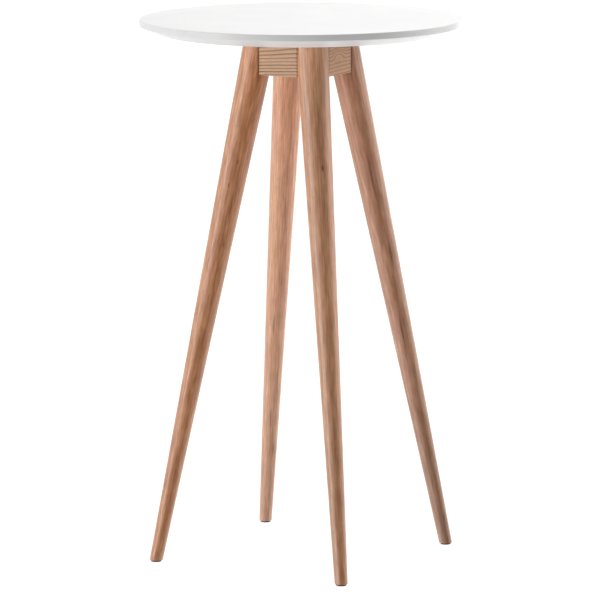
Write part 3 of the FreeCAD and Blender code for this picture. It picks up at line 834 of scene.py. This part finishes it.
# The arch in the grain of the right rail: its place, its size and how far it pushes the rings
ARCH_PLACE = Vector((RAIL_OUTER, -6 * MM, APRON_BOTTOM + 42 * MM))
ARCH_SIZE = (22 * MM, 22 * MM, 36 * MM)
ARCH_PUSH = -8 * MM

lacquer = make_lacquer()
zinc = make_zinc()
polyethylene = make_polyethylene()
turn_tabletop(lacquer)
bolt_mesh = cut_bolt()

for side_name, side_turn in SIDES.items():
    faces = outwards(side_turn)
    pith_behind, pith_above, pith_lean, rail_ring, ring_start, ring_depth, rail_cast = RAIL_CUTS[side_name]
    rail_wood = make_wood(
        "satin_flat_sawn_ash_rail_" + side_name,
        along=(outwards(side_turn + 90) - faces * pith_lean).normalized(),
        origin=faces * RAIL_OUTER + UP * (UNDERSIDE + APRON_BOTTOM) / 2,
        pith=UP * pith_above - faces * pith_behind,
        ring_width=rail_ring,
        ring_start=ring_start,
        ring_line=0.4,
        colours=APRON_COLOURS,
        ring_depth=ring_depth,
        streak_depth=0.25,
        pore_depth=0.4,
        wander=(0.8 * MM, 26 * MM, 2.5),
        coat=0.2,
        cast=rail_cast,
        knots=[(ARCH_PLACE, ARCH_SIZE, ARCH_PUSH)] if side_name == "right" else (),
    )
    saw_rail(side_name, side_turn, rail_wood)
    for kind in ("bracket_", "rail_screws_", "top_screws_", "block_screws_"):
        refinish(kind + side_name, zinc)

for corner_name, corner_turn in CORNERS.items():
    away, sideways = outwards(corner_turn), outwards(corner_turn + 90)
    joint_middle = away * CORNER_REACH + UP * (UNDERSIDE + APRON_BOTTOM) / 2
    leg_wood = make_wood(
        "satin_turned_ash_leg_" + corner_name,
        along=leg_axes(corner_turn)[0],
        origin=away * LEG_HEAD_OFFSET + UP * UNDERSIDE,
        pith=outwards(corner_turn + LEG_PITH_TURN) * LEG_PITH_DISTANCE,
        ring_width=4.6 * MM,
        ring_start=0.0,
        ring_line=0.5,
        colours=LEG_COLOURS,
        ring_depth=0.5,
        streak_depth=LEG_STREAKS[corner_name],
        pore_depth=0.3,
        wander=(4 * MM, 26 * MM, 9.0),
        coat=1.0,
        cast=LEG_CASTS[corner_name],
        flecks_and_painted_shades=[
            leg_mark(corner_turn, depth * MM, side, length * MM, width * MM, strength)
            for depth, side, length, width, strength in LEG_MARKS[corner_name]
        ]
        # The last one is painted shade, darker towards the leg's foot
        + [(away * FOOT_OFFSET, FOOT_PAINTED_SHADE_SIZE, FOOT_PAINTED_SHADES[corner_name])],
        # Painted shade in the corners beside the rails
        upright_painted_shades=[
            (joint_middle + sideways * LEG_HEAD_RADIUS * way, JOINT_PAINTED_SHADE_SIZE, JOINT_PAINTED_SHADES[corner_name])
            for way in (-1, 1)
        ],
    )
    turn_leg(corner_name, corner_turn, leg_wood)
    block_wood = make_wood(
        "sawn_beech_block_" + corner_name,
        along=sideways,
        origin=away * CORNER_REACH + UP * APRON_BOTTOM,
        pith=-away * BLOCK_PITH_BEHIND - UP * BLOCK_PITH_BELOW,
        ring_width=2.2 * MM,
        ring_start=0.0,
        ring_line=0.5,
        colours=BLOCK_COLOURS,
        ring_depth=0.6,
        streak_depth=0.3,
        pore_depth=0.5,
        wander=(2 * MM, 20 * MM, 4.0),
        coat=0.2,
    )
    refinish("corner_block_" + corner_name, block_wood)
    fit_hanger_bolts(corner_name, corner_turn, bolt_mesh, zinc)
    refinish("glide_" + corner_name, polyethylene)
    for kind in ("glide_nail_", "washers_", "nuts_"):
        refinish(kind + corner_name, zinc)


# Studio

# The camera, as solved from the photo: where it stands, from the middle of the floor under the table, how
# it is turned, its lens, and how far it sees
CAMERA_AZIMUTH = -59.619
CAMERA_DISTANCE = 8.807
CAMERA_HEIGHT = 1.993
CAMERA_PITCH = math.radians(9.464)
CAMERA_YAW = math.radians(0.021)
CAMERA_ROLL = math.radians(-0.136)
FOCAL_PIXELS = 4391.9
PHOTO_WIDTH = 600
SENSOR_WIDTH = 36
CAMERA_REACH = 200

# The white cove, its floor just under the glides' soles, so that the two never share a plane
COVE_RADIUS = 30.0
COVE_CORNER = 6.0
COVE_HEIGHT = 14.0
COVE_FLOOR = -0.1 * MM
COVE_STEPS = 96
COVE_CORNER_STEPS = 12

# The light that the studio's walls give, and its patches: degrees to the right of the camera and above
# level, the half angles where the patch is full and where it ends, and its own light. Later ones lie over
# earlier ones.
WALL_LIGHT = 0.71
LIGHT_PATCHES = {
    "white_floor": (0, -90, 58, 82, 1.03),
    "dark_opening_round_the_camera": (24, 20, 48, 63, 0.0),
    "dim_wall_above_the_backdrop": (158, 31, 22, 49, 0.2),
    "shaded_floor_behind_the_table": (190, -57, 12, 30, 0.3),
    "lit_backdrop": (167, -5, 13, 26, 2.15),
    "ceiling": (0, 90, 20, 50, 1.5),
    "right_softbox": (111, 26, 8, 21, 8.3),
    "left_softbox": (-66, -4, 7, 16, 5.5),
}


def set_camera():
    """A long lens at the photo's angle, looking down on the top."""
    camera = bpy.data.cameras.new("studio_camera")
    camera.sensor_width = SENSOR_WIDTH
    camera.lens = SENSOR_WIDTH * FOCAL_PIXELS / PHOTO_WIDTH
    camera.clip_end = CAMERA_REACH
    stand = bpy.data.objects.new("studio_camera", camera)
    bpy.context.scene.collection.objects.link(stand)
    place = outwards(CAMERA_AZIMUTH) * CAMERA_DISTANCE + UP * CAMERA_HEIGHT
    heading = math.radians(CAMERA_AZIMUTH + 90) + CAMERA_YAW
    look = Euler((math.pi / 2 - CAMERA_PITCH, 0, heading), "XYZ").to_matrix().to_4x4()
    stand.matrix_world = Matrix.Translation(place) @ look @ Matrix.Rotation(CAMERA_ROLL, 4, "Z")
    bpy.context.scene.camera = stand


def build_cove():
    """A wide white floor that curves up into a wall all round, seen by the camera only.

    The paint glows by itself and takes little of the studio's light, so that the table's shade on it
    stays faint.
    """
    bm = bmesh.new()
    section = [(0, COVE_FLOOR), (COVE_RADIUS, COVE_FLOOR), (COVE_RADIUS, COVE_HEIGHT)]
    spin_section(bm, section, COVE_STEPS)
    floor_rim = [
        edge
        for edge in bm.edges
        if all(v.co.z < SAME_PLACE and v.co.xy.length > COVE_RADIUS / 2 for v in edge.verts)
    ]
    bmesh.ops.bevel(
        bm,
        geom=floor_rim,
        offset=COVE_CORNER,
        segments=COVE_CORNER_STEPS,
        profile=0.5,
        affect="EDGES",
        material=-1,
    )
    bmesh.ops.recalc_face_normals(bm, faces=bm.faces)
    bmesh.ops.reverse_faces(bm, faces=bm.faces)
    mesh = bpy.data.meshes.new("studio_cove")
    bm.to_mesh(mesh)
    bm.free()
    mesh.shade_smooth()
    cove = bpy.data.objects.new("studio_cove", mesh)
    bpy.context.scene.collection.objects.link(cove)
    for way in ("visible_diffuse", "visible_glossy", "visible_transmission", "visible_shadow"):
        setattr(cove, way, False)
    material, tree = start_material("matt_white_cove_paint")
    place = add(tree, "ShaderNodeTexCoord").outputs["Object"]
    roller = add(tree, "ShaderNodeTexNoise", {"Vector": place, "Scale": 1 / (4 * MM), "Detail": 1.0})
    bump = add(tree, "ShaderNodeBump", {"Height": roller.outputs["Fac"], "Strength": 0.05, "Distance": MM})
    shader = add(
        tree,
        "ShaderNodeBsdfPrincipled",
        {
            "Base Color": linear("#9a9a9a"),
            "Roughness": 0.9,
            "Specular IOR Level": 0.0,
            "Emission Color": linear("#ffffff"),
            "Emission Strength": 0.82,
            "Normal": bump.outputs["Normal"],
        },
    )
    close_material(tree, shader)
    mesh.materials.append(material)


def paint_light(tree, ray, light, name, patch):
    """Change the light that comes from one round patch of the studio, soft at its rim."""
    turn, height, inner, outer, level = patch
    rise = math.radians(height)
    towards = outwards(CAMERA_AZIMUTH + turn) * math.cos(rise) + UP * math.sin(rise)
    facing = add(
        tree, "ShaderNodeVectorMath", {0: ray, 1: towards}, operation="DOT_PRODUCT"
    ).outputs["Value"]
    share = add(
        tree,
        "ShaderNodeMapRange",
        {
            "Value": facing,
            "From Min": math.cos(math.radians(outer)),
            "From Max": math.cos(math.radians(inner)),
        },
        interpolation_type="SMOOTHSTEP",
    ).outputs["Result"]
    return add(
        tree, "ShaderNodeMix", {"Factor": share, "A": light, "B": level}, data_type="FLOAT", label=name
    ).outputs["Result"]


def light_studio():
    """The light of a white studio, all of it from the world: its walls, and its patches over them."""
    world = bpy.data.worlds.new("white_studio")
    bpy.context.scene.world = world
    world.use_nodes = True
    tree = world.node_tree
    tree.nodes.clear()
    ray = add(tree, "ShaderNodeTexCoord").outputs["Generated"]
    light = WALL_LIGHT
    for name, patch in LIGHT_PATCHES.items():
        light = paint_light(tree, ray, light, name, patch)
    sky = add(tree, "ShaderNodeBackground", {"Color": (1, 1, 1, 1), "Strength": light})
    output = add(tree, "ShaderNodeOutputWorld")
    tree.links.new(sky.outputs["Background"], output.inputs["Surface"])


set_camera()
build_cove()
light_studio()
bpy.context.scene.view_settings.view_transform = "Standard"
